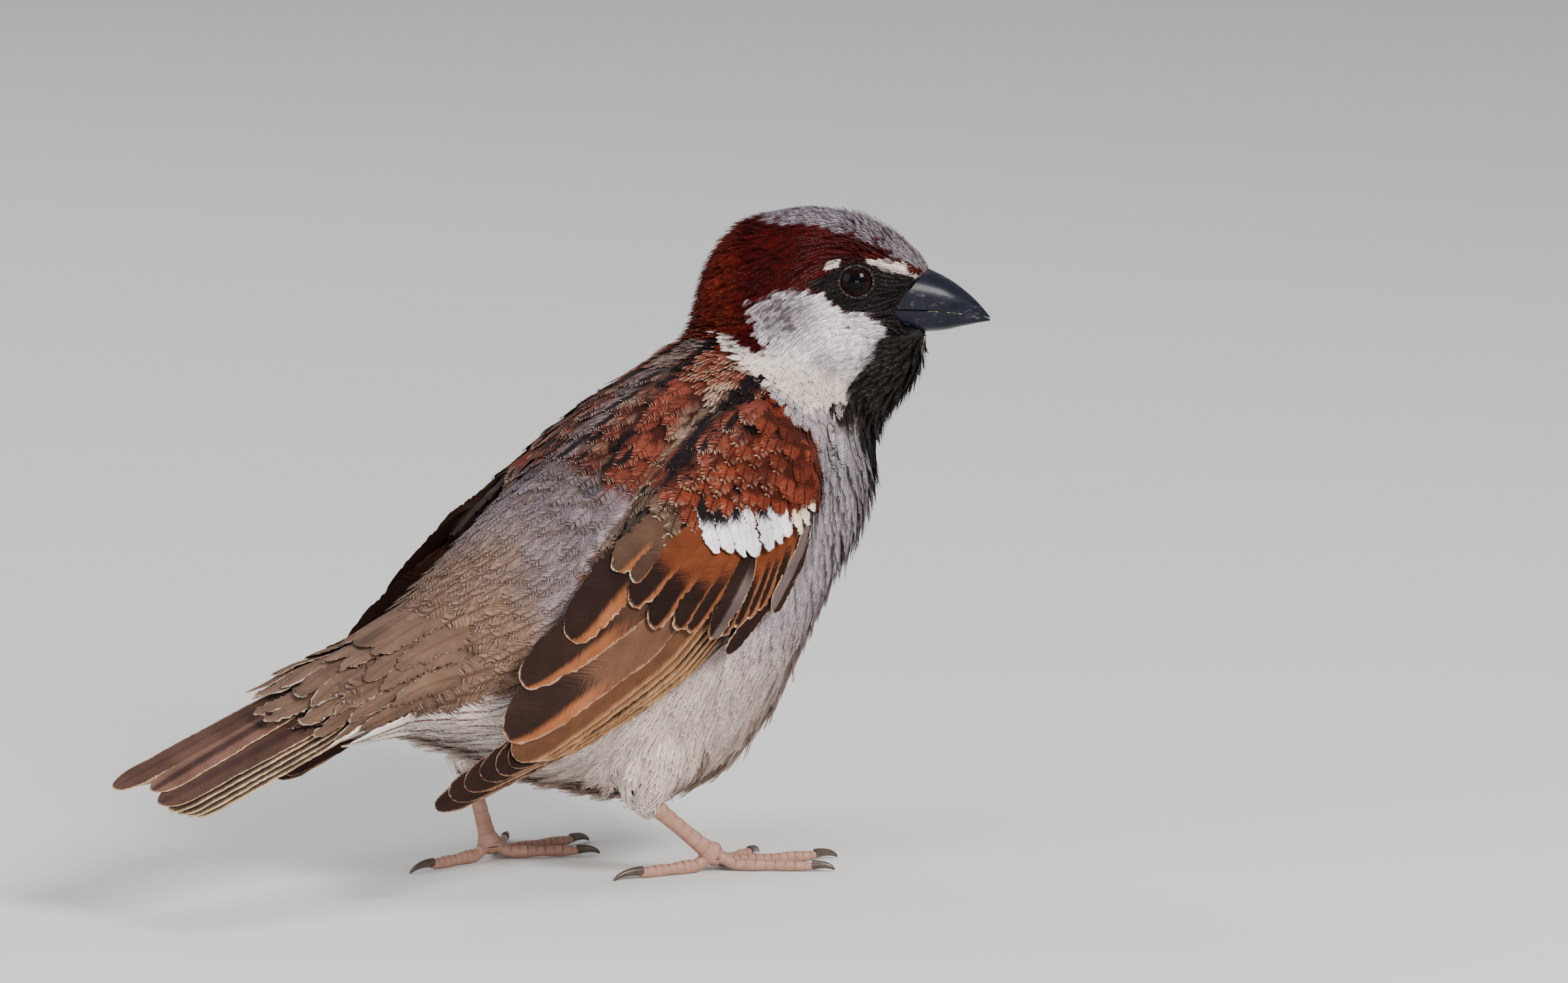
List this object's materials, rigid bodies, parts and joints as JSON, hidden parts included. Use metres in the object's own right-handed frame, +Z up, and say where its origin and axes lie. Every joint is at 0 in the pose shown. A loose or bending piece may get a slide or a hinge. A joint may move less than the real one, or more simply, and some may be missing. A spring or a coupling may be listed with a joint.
{
  "type": "house sparrow",
  "caption": "Life-size cock house sparrow standing still, wings folded over the rump, tail held out behind and down, head turned to its right.",
  "frame": {"origin": "middle of the model's outline seen from above, at the height of the soles", "axes": "+X the way the body points, +Y the bird's left, +Z up"},
  "size_m": [0.1254, 0.0486, 0.0861],
  "materials": {
    "crown_grey": "soft feathers",
    "belly_grey": "soft feathers",
    "rump_grey": "soft feathers",
    "wing_brown": "close feathers",
    "tail_brown": "close feathers",
    "bill_black": "smooth horn",
    "eye_brown": "wet gloss",
    "leg_pink": "fine scales",
    "claw_brown": "smooth horn"
  },
  "bodies": {
    "root": {"head": "crown_grey", "neck": "crown_grey", "trunk": "belly_grey", "rump": "rump_grey", "eye_left": "eye_brown", "eye_right": "eye_brown", "bill_upper": "bill_black", "bill_lower": "bill_black", "tail_left": "tail_brown", "tail_right": "tail_brown", "wing_left_coverts": "wing_brown", "wing_left_secondaries": "wing_brown", "wing_left_primaries": "wing_brown", "wing_right_coverts": "wing_brown", "wing_right_secondaries": "wing_brown", "wing_right_primaries": "wing_brown", "leg_left_thigh": "belly_grey", "leg_right_thigh": "belly_grey", "leg_left_tarsus": "leg_pink", "leg_right_tarsus": "leg_pink", "foot_left_toe_1": "leg_pink", "foot_left_toe_2": "leg_pink", "foot_left_toe_3": "leg_pink", "foot_left_toe_4": "leg_pink", "foot_right_toe_1": "leg_pink", "foot_right_toe_2": "leg_pink", "foot_right_toe_3": "leg_pink", "foot_right_toe_4": "leg_pink", "foot_left_claw_1": "claw_brown", "foot_left_claw_2": "claw_brown", "foot_left_claw_3": "claw_brown", "foot_left_claw_4": "claw_brown", "foot_right_claw_1": "claw_brown", "foot_right_claw_2": "claw_brown", "foot_right_claw_3": "claw_brown", "foot_right_claw_4": "claw_brown"}
  },
  "joints": []
}
